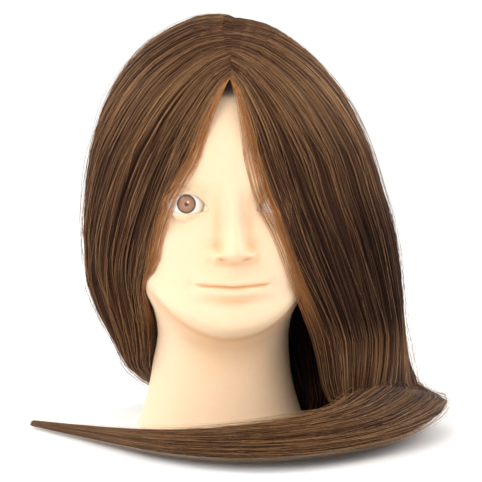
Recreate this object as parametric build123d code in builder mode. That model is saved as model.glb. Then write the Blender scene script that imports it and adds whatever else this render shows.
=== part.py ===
from build123d import *
import os
from math import copysign, cos, pi, sin

# Mannequin training head for hairdressing practice: a soft vinyl skin with the face, ears and neck in one
# moulding, filled with rigid foam, with two inserted eyes, long hair rooted in sections on a glued lining,
# and a base that takes the post of a table clamp.
#
# Millimetres, +Z up. The face looks along -Y. The origin is the middle of the post socket's mouth, on the
# plane that the neck stands on.

# ---------------------------------------------------------------- driving dimensions

SKULL_CENTRE = 180.0  # height above which the inner surfaces are drawn down as well as in
SKIN_WALL = 4.0  # vinyl wall, measured across the head
SKIN_LIP = 9.5  # thickness of the lip that the skin turns inward under the neck
LINING_WALL = 1.2  # glue and mesh that lock the rooted hair inside the scalp
BOND_GAP = 0.4  # space left between nested curved layers

# Head and neck outline, base to crown: front y and z, back y and z, half width. Each is one tilted ring.
HEAD_RINGS = [
    (-60.0, 0.0, 58.0, 0.0, 58.2),
    (-55.5, 12.0, 54.5, 12.0, 54.4),
    (-51.5, 24.0, 52.0, 25.0, 50.9),
    (-48.5, 36.0, 51.0, 42.0, 48.2),
    (-47.5, 49.0, 52.0, 62.0, 46.9),
    (-51.0, 60.0, 56.0, 84.0, 47.8),
    (-63.0, 68.0, 64.0, 108.0, 52.0),
    (-75.5, 75.0, 74.0, 130.0, 59.0),
    (-80.5, 84.0, 83.0, 150.0, 65.0),
    (-80.0, 97.0, 89.0, 165.0, 69.0),
    (-81.0, 110.0, 92.5, 178.0, 71.5),
    (-80.5, 127.0, 94.5, 192.0, 73.5),
    (-78.5, 156.0, 94.0, 211.0, 75.0),
    (-82.0, 182.0, 89.0, 226.0, 75.5),
    (-80.0, 212.0, 79.0, 241.0, 69.5),
    (-67.0, 239.0, 61.0, 256.0, 56.5),
    (-43.0, 258.5, 36.0, 267.0, 37.0),
    (-17.0, 268.5, 11.0, 270.5, 15.0),
]
WIDEST_AT = 0.56  # where a head ring is widest, as a share of the way from front to back
SCALP_EDGE = (-78.0, 222.0)  # y and z of the rooted scalp's edge on the forehead
SCALP_SLOPE = 37.0  # degrees that the edge falls from forehead to nape

EYE_RADIUS = 12.0
EYE_CENTRE = (30.0, -64.0, 159.5)  # the eye on the +X side; the other mirrors it
EYE_BACK = 3.0  # how far behind its centre the insert is cut flat
IRIS_RADIUS = 6.6
IRIS_POCKET = 2.4  # depth of the iris pocket from the front of the eye
FIT_GAP = 0.1  # clearance between hard parts that slip together

NOSE_SECTIONS = [  # height, front y, half width
    (161.0, -79.5, 5.0),
    (145.0, -87.5, 7.0),
    (131.0, -96.5, 12.5),
    (124.0, -90.5, 11.5),
]
NOSE_ROOT = -68.0  # y inside the face where the nose sections end

EAR_CENTRE = (71.5, 12.0, 152.0)
EAR_LENGTH, EAR_DEPTH, EAR_THICK, EAR_TILT = 58.0, 32.0, 13.0, 12.0

POST_RADIUS = 12.7  # bore for a one-inch clamp post
SOCKET_DEPTH = 95.0
SOCKET_WALL = 3.0
SOCKET_FLANGE_RADIUS, SOCKET_FLANGE_THICK = 25.0, 3.0
CAP_SKIRT, CAP_THICK = 10.0, 3.0
BASE_PLATE_RADIUS, BASE_PLATE_THICK = 45.7, 3.0
RING_FLANGE_THICK = 4.0
RING_GAP = 1.4  # between the ring's flange and the soft skin around it
SCREW_CIRCLE, SCREW_COUNT = 72.0, 4
SCREW_START = 45.0  # degrees from the first screw to the head's left
SCREW_RADIUS, SCREW_HEAD_RADIUS, SCREW_HEAD_DEPTH, SCREW_LENGTH = 1.45, 3.2, 1.8, 11.0
SCREW_RECESS = 0.2  # screw heads sit this far inside the plate
SCREW_CLEARANCE = 0.2  # around the screw in the plate
PILOT_GAP = 0.05  # around the screw's thread in the ring
DRIVE_WIDTH, DRIVE_LENGTH, DRIVE_DEPTH = 0.8, 3.6, 0.9  # cross recess in the screw head

# Outer surface of the combed hair, lowest ring first: height, right x, left x, front y, back y, and the
# power of its superellipse. The lowest rings reach forward to where the hair bends onto the table.
HAIR_RINGS = [
    (0.6, -40.0, 147.0, -110.0, 82.0, 3.0),
    (20.0, -57.0, 146.5, -108.0, 88.0, 3.0),
    (36.0, -69.0, 143.5, -92.0, 95.0, 2.8),
    (52.0, -78.0, 140.0, -70.0, 100.0, 2.4),
    (70.0, -86.0, 136.0, -61.0, 104.0, 2.1),
    (100.0, -92.5, 130.0, -65.0, 108.0, 2.0),
    (130.0, -95.0, 122.5, -69.0, 111.0, 2.0),
    (160.0, -93.5, 113.5, -75.0, 113.5, 2.0),
    (190.0, -89.0, 103.5, -82.0, 114.0, 2.0),
    (220.0, -80.0, 89.5, -86.0, 107.0, 2.0),
    (246.0, -66.0, 70.5, -78.0, 88.0, 2.0),
    (264.0, -49.5, 51.5, -60.0, 65.0, 2.0),
    (275.0, -33.0, 33.0, -40.0, 42.0, 2.0),
    (282.0, -13.0, 13.0, -18.0, 18.0, 2.0),
]
SCALP_GAP = 0.35  # between the skin and the underside of the hair
PARTING_FRONT = (-2.0, -80.0)  # x and y of the parting at the hairline
PARTING_TOP = (10.0, 8.0)  # x and y of the parting at the top of the head
SIDE_SPLIT = 12.0  # y of the face between the side and the back sections
CROWN_HEIGHT = 232.0  # underside of the two top sections
NAPE_HEIGHT = 96.0  # underside of the crown section
FOLD_HEIGHT = 60.0  # below this the hair beyond the neck on the left belongs to the fold
NECK_VOID_RADIUS = 62.0  # hair keeps this far from the neck's axis
NECK_VOID_HEIGHT = 78.0

# Outline of the face left open between the two curtains of hair, seen from the front: x, z, from the
# parting down the right side, along the table and up the left side.
FACE_OPENING = [
    (-2.0, 242.0),
    (-21.0, 207.0),
    (-39.0, 166.0),
    (-51.0, 128.0),
    (-54.0, 108.0),
    (-48.0, 85.0),
    (-47.0, 60.0),
    (-53.0, -5.0),
    (80.0, -5.0),
    (77.0, 18.0),
    (69.0, 55.0),
    (60.0, 80.0),
    (51.0, 98.0),
    (44.0, 116.0),
    (37.0, 136.0),
    (30.0, 157.0),
    (20.0, 182.0),
    (10.0, 208.0),
]
OPENING_BACK = -12.0  # y where the opening ends behind the cheeks
HAIR_CUT = 200.0  # length of a cut that runs out of the hair

# Outline of the space in front of the right curtain where it is swept back behind the neck, seen from the
# side: y, z.
SWEPT_BACK = [
    (-120.0, 100.0),
    (-12.0, 100.0),
    (8.0, 72.0),
    (34.0, 24.0),
    (38.0, -5.0),
    (-120.0, -5.0),
]

# Centre line of the hair that sweeps along the table: x, y, half width, height. It starts where the left
# curtain has bent onto the table and thins to a tip.
SWEEP = [
    (102.0, -66.0, 34.0, 33.0),
    (76.0, -91.0, 31.0, 26.0),
    (44.0, -109.0, 31.0, 23.0),
    (10.0, -116.0, 29.0, 21.0),
    (-22.0, -108.0, 23.0, 18.0),
    (-50.0, -88.0, 16.0, 14.5),
    (-77.0, -60.0, 10.5, 10.5),
    (-105.0, -30.0, 6.0, 7.5),
    (-128.0, -4.0, 2.0, 3.5),
]
TAIL_RINGS = 6  # the tail runs through this many of the sweep's rings, and the tip through the rest
TABLE_GAP = 0.6  # under the hair that lies along the table


# ---------------------------------------------------------------- shared shapes


def superellipse(share, power):
    """The coordinate, from -1 to 1, that a superellipse of this power has for a cosine or a sine."""
    return copysign(abs(share) ** (2.0 / power), share)


def egg_points(half_width, front, back, power=2.0, count=16):
    """A closed egg outline about the origin: half_width each way in x, front along -y and back along +y."""
    points = []
    for step in range(count):
        angle = 2 * pi * step / count
        reach = back if sin(angle) > 0 else front
        x = half_width * superellipse(cos(angle), power)
        y = reach * superellipse(sin(angle), power)
        points.append((x, y))
    return points


def loft_rings(rings):
    """A smooth solid through rings of (plane, outline points)."""
    with BuildPart() as form:
        for plane, points in rings:
            with BuildSketch(plane):
                with BuildLine():
                    Spline(*points, periodic=True)
                make_face()
        loft()
    return form.part


def head_form(inset):
    """The solid outline of head and neck, with its whole surface drawn in by inset."""
    rings = []
    crown_height = HEAD_RINGS[-1][3] - SKULL_CENTRE
    for front_y, front_z, back_y, back_z, half_width in HEAD_RINGS:
        front = Vector(0, front_y, front_z - max(front_z - SKULL_CENTRE, 0) * inset / crown_height)
        back = Vector(0, back_y, back_z - max(back_z - SKULL_CENTRE, 0) * inset / crown_height)
        chord = (back - front).normalized()
        front += chord * inset
        back -= chord * inset
        reach = (back - front).length
        plane = Plane(
            origin=front + chord * reach * WIDEST_AT,
            x_dir=(1, 0, 0),
            z_dir=Vector(1, 0, 0).cross(chord),
        )
        outline = egg_points(half_width - inset, reach * WIDEST_AT, reach * (1 - WIDEST_AT))
        rings.append((plane, outline))
    return loft_rings(rings)


def ear_pad(grow=0.0):
    """Both ears as rounded pads, each larger by grow on every side."""
    x, y, z = EAR_CENTRE
    with BuildPart() as pads:
        with BuildSketch(Plane(origin=(x, y, z), x_dir=(0, 1, 0), z_dir=(1, 0, 0))):
            with Locations(Rotation(0, 0, -EAR_TILT)):
                Ellipse(EAR_DEPTH / 2 + grow, EAR_LENGTH / 2 + grow)
        extrude(amount=EAR_THICK / 2 + grow, both=True)
        fillet(pads.edges(), EAR_THICK / 3)
        mirror(about=Plane.YZ)
    return pads.part


def eye_ball(radius):
    """Both eyes as whole balls of this radius."""
    x, y, z = EYE_CENTRE
    with BuildPart() as balls:
        with Locations((x, y, z), (-x, y, z)):
            Sphere(radius)
    return balls.part


def neck_radius(height):
    """Half width of the neck at this height, between its two lowest rings above the base."""
    lower, upper = HEAD_RINGS[1:3]
    share = (height - lower[1]) / (upper[1] - lower[1])
    return lower[4] + (upper[4] - lower[4]) * share


def sweep_plane(step):
    """The upright plane square to the sweep at one of its points, in the middle of the hair's height."""
    x, y, _, height = SWEEP[step]
    before = SWEEP[max(step - 1, 0)]
    after = SWEEP[min(step + 1, len(SWEEP) - 1)]
    run = Vector(after[0] - before[0], after[1] - before[1], 0)
    return Plane(origin=(x, y, TABLE_GAP + height / 2), x_dir=Vector(0, 0, 1).cross(run), z_dir=run)


def swept_lock(first, last):
    """The hair that lies along the sweep from one of its points to another."""
    rings = []
    for step in range(first, last + 1):
        half_width, height = SWEEP[step][2:]
        rings.append((sweep_plane(step), egg_points(half_width, height / 2, height / 2)))
    return loft_rings(rings)


os.makedirs("parts", exist_ok=True)

# ---------------------------------------------------------------- skin, lining, foam

lining_inset = SKIN_WALL + BOND_GAP
scalp_foam_inset = lining_inset + LINING_WALL + BOND_GAP
eye_back = EYE_CENTRE[1] + EYE_BACK
ring_bottom = SKIN_LIP + FIT_GAP
ring_top = ring_bottom + RING_FLANGE_THICK
ring_radius = neck_radius(ring_top) - SKIN_WALL - RING_GAP
socket_outer = POST_RADIUS + SOCKET_WALL
cap_inner = socket_outer + FIT_GAP
cap_radius = cap_inner + SOCKET_WALL

# The rooted scalp lies above this plane, which runs from the forehead down to the nape.
scalp_plane = Plane(origin=(0, *SCALP_EDGE), x_dir=(1, 0, 0), z_dir=(0, 0, 1)).rotated((-SCALP_SLOPE, 0, 0))

with BuildPart() as cavity:
    add(head_form(SKIN_WALL))
    split(bisect_by=Plane.XY.offset(SKIN_LIP), keep=Keep.TOP)

with BuildPart() as nose:
    for height, front_y, half_width in NOSE_SECTIONS:
        depth = (NOSE_ROOT - front_y) / 2
        with BuildSketch(Plane.XY.offset(height)):
            with Locations((0, NOSE_ROOT - depth)):
                Ellipse(half_width, depth)
    loft()

with BuildPart() as head_skin:
    add(head_form(0))
    add(nose.part)
    add(ear_pad())
    add(cavity.part, mode=Mode.SUBTRACT)
    with BuildSketch(Plane.XY):
        Circle(BASE_PLATE_RADIUS + 2 * FIT_GAP)
    extrude(amount=SKIN_LIP, mode=Mode.SUBTRACT)
    add(eye_ball(EYE_RADIUS + FIT_GAP), mode=Mode.SUBTRACT)
head_skin.part.label = "head_skin"
export_step(head_skin.part, "parts/head_skin.step")

with BuildPart() as root_lining:
    add(head_form(lining_inset))
    add(head_form(lining_inset + LINING_WALL), mode=Mode.SUBTRACT)
    split(bisect_by=scalp_plane, keep=Keep.TOP)
root_lining.part.label = "root_lining"
export_step(root_lining.part, "parts/root_lining.step")

with BuildPart() as foam_scalp:
    add(head_form(scalp_foam_inset))
    split(bisect_by=scalp_plane, keep=Keep.TOP)

with BuildPart() as foam_core:
    add(head_form(SKIN_WALL + BOND_GAP))
    split(bisect_by=scalp_plane, keep=Keep.BOTTOM)
    add(foam_scalp.part)
    split(bisect_by=Plane.XY.offset(ring_top + BOND_GAP), keep=Keep.TOP)
    with BuildSketch(Plane.XY):
        Circle(cap_radius + BOND_GAP)
    extrude(amount=SOCKET_DEPTH + CAP_THICK + BOND_GAP, mode=Mode.SUBTRACT)
    with BuildSketch(Plane.XZ.offset(-(eye_back + BOND_GAP))):
        with Locations((EYE_CENTRE[0], EYE_CENTRE[2]), (-EYE_CENTRE[0], EYE_CENTRE[2])):
            Circle(EYE_RADIUS + BOND_GAP)
    extrude(amount=2 * EYE_RADIUS, mode=Mode.SUBTRACT)
foam_core.part.label = "foam_core"
export_step(foam_core.part, "parts/foam_core.step")

# ---------------------------------------------------------------- eyes

for side, name in ((1, "left"), (-1, "right")):
    x, y, z = side * EYE_CENTRE[0], EYE_CENTRE[1], EYE_CENTRE[2]
    front_plane = Plane(origin=(x, y - EYE_RADIUS, z), x_dir=(1, 0, 0), z_dir=(0, 1, 0))
    with BuildPart() as eye:
        with Locations((x, y, z)):
            Sphere(EYE_RADIUS)
        split(bisect_by=Plane.XZ.offset(-eye_back), keep=Keep.TOP)
        with BuildSketch(front_plane):
            Circle(IRIS_RADIUS + FIT_GAP)
        extrude(amount=IRIS_POCKET, mode=Mode.SUBTRACT)
    eye.part.label = f"eye_{name}"
    export_step(eye.part, f"parts/{eye.part.label}.step")

    with BuildPart() as iris:
        with BuildSketch(front_plane):
            Circle(IRIS_RADIUS)
        extrude(amount=IRIS_POCKET)
        with Locations((x, y, z)):
            Sphere(EYE_RADIUS, mode=Mode.INTERSECT)
    iris.part.label = f"iris_{name}"
    export_step(iris.part, f"parts/{iris.part.label}.step")

# ---------------------------------------------------------------- base of the neck

with BuildPart() as post_socket:
    with BuildSketch(Plane.XY):
        Circle(socket_outer)
    extrude(amount=SOCKET_DEPTH)
    with BuildSketch(Plane.XY.offset(BASE_PLATE_THICK)):
        Circle(SOCKET_FLANGE_RADIUS)
    extrude(amount=SOCKET_FLANGE_THICK)
    with BuildSketch(Plane.XY):
        Circle(POST_RADIUS)
    extrude(amount=SOCKET_DEPTH, mode=Mode.SUBTRACT)
post_socket.part.label = "post_socket"
export_step(post_socket.part, "parts/post_socket.step")

with BuildPart() as socket_cap:
    with BuildSketch(Plane.XY.offset(SOCKET_DEPTH - CAP_SKIRT)):
        Circle(cap_radius)
    extrude(amount=CAP_SKIRT + CAP_THICK)
    with BuildSketch(Plane.XY.offset(SOCKET_DEPTH - CAP_SKIRT)):
        Circle(cap_inner)
    extrude(amount=CAP_SKIRT, mode=Mode.SUBTRACT)
socket_cap.part.label = "socket_cap"
export_step(socket_cap.part, "parts/socket_cap.step")

with BuildPart() as base_plate:
    with BuildSketch(Plane.XY):
        Circle(BASE_PLATE_RADIUS)
    extrude(amount=BASE_PLATE_THICK)
    with BuildSketch(Plane.XY):
        Circle(socket_outer + FIT_GAP)
    extrude(amount=BASE_PLATE_THICK, mode=Mode.SUBTRACT)
    with Locations(Plane.XY.rotated((180, 0, 0))):
        with PolarLocations(SCREW_CIRCLE / 2, SCREW_COUNT, SCREW_START):
            CounterSinkHole(SCREW_RADIUS + SCREW_CLEARANCE, SCREW_HEAD_RADIUS + SCREW_CLEARANCE)
base_plate.part.label = "base_plate"
export_step(base_plate.part, "parts/base_plate.step")

with BuildPart() as neck_ring:
    with BuildSketch(Plane.XY.offset(BASE_PLATE_THICK)):
        Circle(BASE_PLATE_RADIUS)
    extrude(amount=ring_top - BASE_PLATE_THICK)
    with BuildSketch(Plane.XY.offset(ring_bottom)):
        Circle(ring_radius)
    extrude(amount=RING_FLANGE_THICK)
    with BuildSketch(Plane.XY):
        Circle(SOCKET_FLANGE_RADIUS + 2 * FIT_GAP)
    extrude(amount=ring_top, mode=Mode.SUBTRACT)
    with BuildSketch(Plane.XY.offset(BASE_PLATE_THICK)):
        with PolarLocations(SCREW_CIRCLE / 2, SCREW_COUNT, SCREW_START):
            Circle(SCREW_RADIUS + PILOT_GAP)
    extrude(amount=ring_top - BASE_PLATE_THICK, mode=Mode.SUBTRACT)
neck_ring.part.label = "neck_ring"
export_step(neck_ring.part, "parts/neck_ring.step")

with BuildPart() as base_screws:
    with BuildSketch(Plane.XY.offset(SCREW_RECESS)):
        with PolarLocations(SCREW_CIRCLE / 2, SCREW_COUNT, SCREW_START):
            Circle(SCREW_RADIUS)
    extrude(amount=SCREW_LENGTH - SCREW_RECESS)
    with Locations(Plane.XY.offset(SCREW_RECESS)):
        with PolarLocations(SCREW_CIRCLE / 2, SCREW_COUNT, SCREW_START):
            Cone(
                SCREW_HEAD_RADIUS,
                SCREW_RADIUS,
                SCREW_HEAD_DEPTH,
                align=(Align.CENTER, Align.CENTER, Align.MIN),
            )
    with BuildSketch(Plane.XY.offset(SCREW_RECESS)):
        with PolarLocations(SCREW_CIRCLE / 2, SCREW_COUNT, SCREW_START):
            Rectangle(DRIVE_WIDTH, DRIVE_LENGTH)
            Rectangle(DRIVE_LENGTH, DRIVE_WIDTH)
    extrude(amount=DRIVE_DEPTH, mode=Mode.SUBTRACT)
base_screws.part.label = "base_screws"
export_step(base_screws.part, "parts/base_screws.step")

# ---------------------------------------------------------------- hair

rings = []
for height, right_x, left_x, front_y, back_y, power in HAIR_RINGS:
    plane = Plane(origin=((right_x + left_x) / 2, SIDE_SPLIT, height))
    half_width = (left_x - right_x) / 2
    outline = egg_points(half_width, SIDE_SPLIT - front_y, back_y - SIDE_SPLIT, power)
    rings.append((plane, outline))
envelope = loft_rings(rings)

with BuildPart() as hair_body:
    add(envelope)
    add(head_form(-SCALP_GAP), mode=Mode.SUBTRACT)
    add(ear_pad(SCALP_GAP), mode=Mode.SUBTRACT)
    add(eye_ball(EYE_RADIUS + SCALP_GAP), mode=Mode.SUBTRACT)
    with BuildSketch(Plane.XZ.offset(-OPENING_BACK)):
        with BuildLine():
            Polyline(*FACE_OPENING, close=True)
        make_face()
    extrude(amount=HAIR_CUT, mode=Mode.SUBTRACT)
    with BuildSketch(Plane.YZ):
        with BuildLine():
            Polyline(*SWEPT_BACK, close=True)
        make_face()
    extrude(amount=-HAIR_CUT, mode=Mode.SUBTRACT)
    with BuildSketch(Plane.XY):
        Circle(NECK_VOID_RADIUS)
    extrude(amount=NECK_VOID_HEIGHT, mode=Mode.SUBTRACT)


# The hair is rooted and combed in sections, which meet face to face along these planes.
top_plane = Plane.XY.offset(CROWN_HEIGHT)
side_plane = Plane.XZ.offset(-SIDE_SPLIT)
nape_plane = Plane.XY.offset(NAPE_HEIGHT)
fold_plane = Plane.XY.offset(FOLD_HEIGHT)
fold_side_plane = Plane.YZ.offset(NECK_VOID_RADIUS)
parting_run = Vector(PARTING_TOP[0] - PARTING_FRONT[0], PARTING_TOP[1] - PARTING_FRONT[1], 0)
parting_plane = Plane(origin=(*PARTING_TOP, 0), z_dir=parting_run.cross(Vector(0, 0, 1)))

with BuildPart() as hair_top_left:
    add(hair_body.part)
    split(bisect_by=top_plane, keep=Keep.TOP)
    split(bisect_by=parting_plane, keep=Keep.TOP)
hair_top_left.part.label = "hair_top_left"
export_step(hair_top_left.part, "parts/hair_top_left.step")

with BuildPart() as hair_top_right:
    add(hair_body.part)
    split(bisect_by=top_plane, keep=Keep.TOP)
    split(bisect_by=parting_plane, keep=Keep.BOTTOM)
hair_top_right.part.label = "hair_top_right"
export_step(hair_top_right.part, "parts/hair_top_right.step")

with BuildPart() as hair_side_left:
    add(hair_body.part)
    split(bisect_by=top_plane, keep=Keep.BOTTOM)
    split(bisect_by=side_plane, keep=Keep.TOP)
    split(bisect_by=Plane.YZ, keep=Keep.TOP)
    split(bisect_by=fold_plane, keep=Keep.TOP)
hair_side_left.part.label = "hair_side_left"
export_step(hair_side_left.part, "parts/hair_side_left.step")

with BuildPart() as hair_side_right:
    add(hair_body.part)
    split(bisect_by=top_plane, keep=Keep.BOTTOM)
    split(bisect_by=side_plane, keep=Keep.TOP)
    split(bisect_by=Plane.YZ, keep=Keep.BOTTOM)
hair_side_right.part.label = "hair_side_right"
export_step(hair_side_right.part, "parts/hair_side_right.step")

with BuildPart() as hair_crown:
    add(hair_body.part)
    split(bisect_by=top_plane, keep=Keep.BOTTOM)
    split(bisect_by=side_plane, keep=Keep.BOTTOM)
    split(bisect_by=nape_plane, keep=Keep.TOP)
hair_crown.part.label = "hair_crown"
export_step(hair_crown.part, "parts/hair_crown.step")

sweep_start = sweep_plane(0)
with BuildPart() as hair_fold:
    add(hair_body.part)
    split(bisect_by=fold_plane, keep=Keep.BOTTOM)
    split(bisect_by=fold_side_plane, keep=Keep.TOP)
    split(bisect_by=sweep_start, keep=Keep.BOTTOM)
hair_fold.part.label = "hair_fold"
export_step(hair_fold.part, "parts/hair_fold.step")

with BuildPart() as hair_nape:
    add(hair_body.part)
    split(bisect_by=nape_plane, keep=Keep.BOTTOM)
    split(bisect_by=side_plane, keep=Keep.BOTTOM)
    with BuildSketch(fold_plane):
        with Locations((NECK_VOID_RADIUS, 0)):
            Rectangle(HAIR_CUT, HAIR_CUT, align=(Align.MIN, Align.CENTER))
    extrude(amount=-FOLD_HEIGHT, mode=Mode.SUBTRACT)
hair_nape.part.label = "hair_nape"
export_step(hair_nape.part, "parts/hair_nape.step")

with BuildPart() as hair_tail:
    add(swept_lock(0, TAIL_RINGS - 1))
hair_tail.part.label = "hair_tail"
export_step(hair_tail.part, "parts/hair_tail.step")

with BuildPart() as hair_tip:
    add(swept_lock(TAIL_RINGS - 1, len(SWEEP) - 1))
hair_tip.part.label = "hair_tip"
export_step(hair_tip.part, "parts/hair_tip.step")
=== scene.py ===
# %% [markdown]
# # A hairdresser's training head
#
# The real thing is a soft vinyl head filled with rigid foam. It stands on its neck, and long brown hair is
# rooted in its scalp, parted in the middle and swept round onto the table. The construction model gives the
# sizes. This file gives each piece the look of its material.

# %% Load the frame
from math import atan2, cos, pi, radians, sin

import bpy
import numpy as np
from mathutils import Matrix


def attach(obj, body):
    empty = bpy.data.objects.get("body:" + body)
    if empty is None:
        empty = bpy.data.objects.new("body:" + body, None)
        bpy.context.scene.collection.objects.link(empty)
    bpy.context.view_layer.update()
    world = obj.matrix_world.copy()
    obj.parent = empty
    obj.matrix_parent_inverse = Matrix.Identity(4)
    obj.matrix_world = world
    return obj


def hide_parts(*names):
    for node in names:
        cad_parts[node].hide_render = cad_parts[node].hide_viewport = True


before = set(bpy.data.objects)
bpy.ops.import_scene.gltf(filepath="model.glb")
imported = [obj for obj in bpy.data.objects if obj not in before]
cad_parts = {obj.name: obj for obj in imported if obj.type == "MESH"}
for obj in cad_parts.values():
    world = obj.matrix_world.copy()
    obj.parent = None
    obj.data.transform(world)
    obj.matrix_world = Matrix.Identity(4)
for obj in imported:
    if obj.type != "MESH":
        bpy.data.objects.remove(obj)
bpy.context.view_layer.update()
rng = np.random.default_rng(7)
print("nodes:", len(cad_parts))

# %% [markdown]
# ## Small tools
#
# Everything below is worked out in millimetres with numpy and turned into metres only when a mesh is made.
# A smooth table is enough for every outline here: a few sizes by height, joined by a curve that passes
# through each of them. A sculpted mesh would do as well, but sizes in a table are easier to change.


# %% Tools: smooth tables, splines and meshes
def smooth(x, xs, ys):
    """A curve through the points (xs, ys), read at x, which levels off beyond the ends."""
    x, xs, ys = np.asarray(x, float), np.asarray(xs, float), np.asarray(ys, float)
    slopes = np.gradient(ys, xs)
    i = np.clip(np.searchsorted(xs, x) - 1, 0, len(xs) - 2)
    h = xs[i + 1] - xs[i]
    t = np.clip((x - xs[i]) / h, 0, 1)
    start = (2 * t**3 - 3 * t**2 + 1) * ys[i] + (t**3 - 2 * t**2 + t) * h * slopes[i]
    end = (3 * t**2 - 2 * t**3) * ys[i + 1] + (t**3 - t**2) * h * slopes[i + 1]
    return start + end


def step(x, low, high):
    """0 below low, 1 above high, and a smooth rise between them."""
    t = np.clip((x - low) / (high - low), 0, 1)
    return t * t * (3 - 2 * t)


def bump(x, z, x0, z0, wide, tall):
    """A soft hill of height 1 at (x0, z0)."""
    return np.exp(-(((x - x0) / wide) ** 2) - ((z - z0) / tall) ** 2)


def spline(points, count):
    """A smooth curve through points (..., k, 3), as (..., count, 3)."""
    k = points.shape[-2]
    at = np.linspace(0, k - 1.000001, count)
    i = at.astype(int)
    t = (at - i)[:, None]
    p0 = points[..., np.clip(i - 1, 0, k - 1), :]
    p1 = points[..., i, :]
    p2 = points[..., np.clip(i + 1, 0, k - 1), :]
    p3 = points[..., np.clip(i + 2, 0, k - 1), :]
    return 0.5 * (2 * p1 + (p2 - p0) * t + (2 * p0 - 5 * p1 + 4 * p2 - p3) * t**2
                  + (3 * p1 - p0 - 3 * p2 + p3) * t**3)


def make_mesh(name, points, quads, uv, material, colours=None):
    """A smooth quad mesh from numpy arrays in millimetres. uv and colours are given per point."""
    mesh = bpy.data.meshes.new(name)
    mesh.vertices.add(len(points))
    mesh.vertices.foreach_set("co", (np.asarray(points, np.float32) / 1000).ravel())
    mesh.loops.add(quads.size)
    mesh.loops.foreach_set("vertex_index", quads.astype(np.int32).ravel())
    mesh.polygons.add(len(quads))
    mesh.polygons.foreach_set("loop_start", np.arange(0, quads.size, 4, dtype=np.int32))
    mesh.polygons.foreach_set("use_smooth", np.ones(len(quads), bool))
    layer = mesh.uv_layers.new(name="OFBake")
    layer.uv.foreach_set("vector", np.asarray(uv, np.float32)[quads.ravel()].ravel())
    if colours is not None:
        tint = mesh.color_attributes.new("Tint", "FLOAT_COLOR", "POINT")
        rgba = np.ones((len(points), 4), np.float32)
        rgba[:, :3] = colours
        tint.data.foreach_set("color", rgba.ravel())
    mesh.update(calc_edges=True)
    mesh.validate()
    mesh.materials.append(material)
    piece = bpy.data.objects.new(name, mesh)
    bpy.context.scene.collection.objects.link(piece)
    return piece


def grid_quads(rows, columns, closed=False):
    """The quads of a grid of points, row by row. closed joins the last column to the first."""
    r = np.arange(rows - 1)[:, None]
    c = np.arange(columns if closed else columns - 1)[None, :]
    right = (c + 1) % columns
    corners = [r * columns + c, r * columns + right, (r + 1) * columns + right, (r + 1) * columns + c]
    return np.stack([np.broadcast_to(k, (rows - 1, c.size)) for k in corners], -1).reshape(-1, 4)


def settle(piece, slot_name, *nodes):
    """The piece rides on the head and stands for these CAD nodes. slot_name is not used."""
    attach(piece, "root")
    if nodes:
        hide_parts(*nodes)
    print(piece.name, len(piece.data.polygons), "faces")


print("halfway up a step from 0 to 1:", float(step(0.5, 0, 1)))

# %% [markdown]
# ## Materials
#
# Each finish is a Principled surface whose colour and bump come from noise, so that no surface is one flat
# colour. The skin and the hair also read a colour that is stored on the mesh: painted shade in the folds of
# the face, and a tone of its own for every strand, with painted highlights and painted shade on the hair.


# %% Materials
def surface(name, colour, roughness, noise_scale, contrast, bump_size=0.0, tinted=False, **sockets):
    """A Principled material with a mottled colour, and a bump from the same noise."""
    material = bpy.data.materials.new(name)
    material.use_nodes = True
    nodes, links = material.node_tree.nodes, material.node_tree.links
    shader = nodes["Principled BSDF"]
    noise = nodes.new("ShaderNodeTexNoise")
    noise.inputs["Scale"].default_value = noise_scale
    noise.inputs["Detail"].default_value = 5
    place = nodes.new("ShaderNodeTexCoord")
    links.new(place.outputs["Object"], noise.inputs["Vector"])
    ramp = nodes.new("ShaderNodeValToRGB")
    ramp.color_ramp.elements[0].position = 0.3
    ramp.color_ramp.elements[1].position = 0.7
    for element, share in zip(ramp.color_ramp.elements, (1 - contrast, 1 + contrast)):
        element.color = (*[min(1.0, share * c) for c in colour], 1)
    links.new(noise.outputs["Fac"], ramp.inputs["Fac"])
    colour_out = ramp.outputs["Color"]
    if tinted:
        tint = nodes.new("ShaderNodeAttribute")
        tint.attribute_name = "Tint"
        mix = nodes.new("ShaderNodeMix")
        mix.data_type = "RGBA"
        mix.blend_type = "MULTIPLY"
        mix.inputs["Factor"].default_value = 1
        links.new(colour_out, mix.inputs["A"])
        links.new(tint.outputs["Color"], mix.inputs["B"])
        colour_out = mix.outputs["Result"]
    links.new(colour_out, shader.inputs["Base Color"])
    shader.inputs["Roughness"].default_value = roughness
    if bump_size:
        relief = nodes.new("ShaderNodeBump")
        relief.inputs["Distance"].default_value = bump_size
        relief.inputs["Strength"].default_value = 0.4
        links.new(noise.outputs["Fac"], relief.inputs["Height"])
        links.new(relief.outputs["Normal"], shader.inputs["Normal"])
    for socket, value in sockets.items():
        shader.inputs[socket.replace("_", " ")].default_value = value
    return material


skin_vinyl = surface("skin_vinyl", (0.93, 0.93, 0.93), 0.52, 260, 0.012, 0.00008, tinted=True,
                     Subsurface_Weight=0.35, Subsurface_Scale=0.006, Subsurface_Radius=(1.0, 0.45, 0.22))
eye_white = surface("eye_white", (0.86, 0.84, 0.81), 0.35, 90, 0.02, Coat_Weight=0.15, Coat_Roughness=0.2)
hair_fibre = surface("hair_fibre", (0.9, 0.9, 0.9), 0.38, 900, 0.10, tinted=True, Specular_IOR_Level=0.12)
# The mass is darker than most strands: hair brown with painted shade.
shaded_hair_mass = surface("shaded_hair_mass", (0.026, 0.012, 0.007), 0.8, 300, 0.25, 0.0004, Specular_IOR_Level=0.04)
foam = surface("foam", (0.86, 0.78, 0.55), 0.9, 400, 0.08, 0.0006)
lining = surface("lining", (0.60, 0.50, 0.36), 0.85, 700, 0.15, 0.0005)
base_plastic = surface("base_plastic", (0.030, 0.030, 0.033), 0.45, 1500, 0.15, 0.00005)
screw_steel = surface("screw_steel", (0.55, 0.55, 0.57), 0.3, 1200, 0.08, 0.00002, Metallic=1.0)
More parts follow.
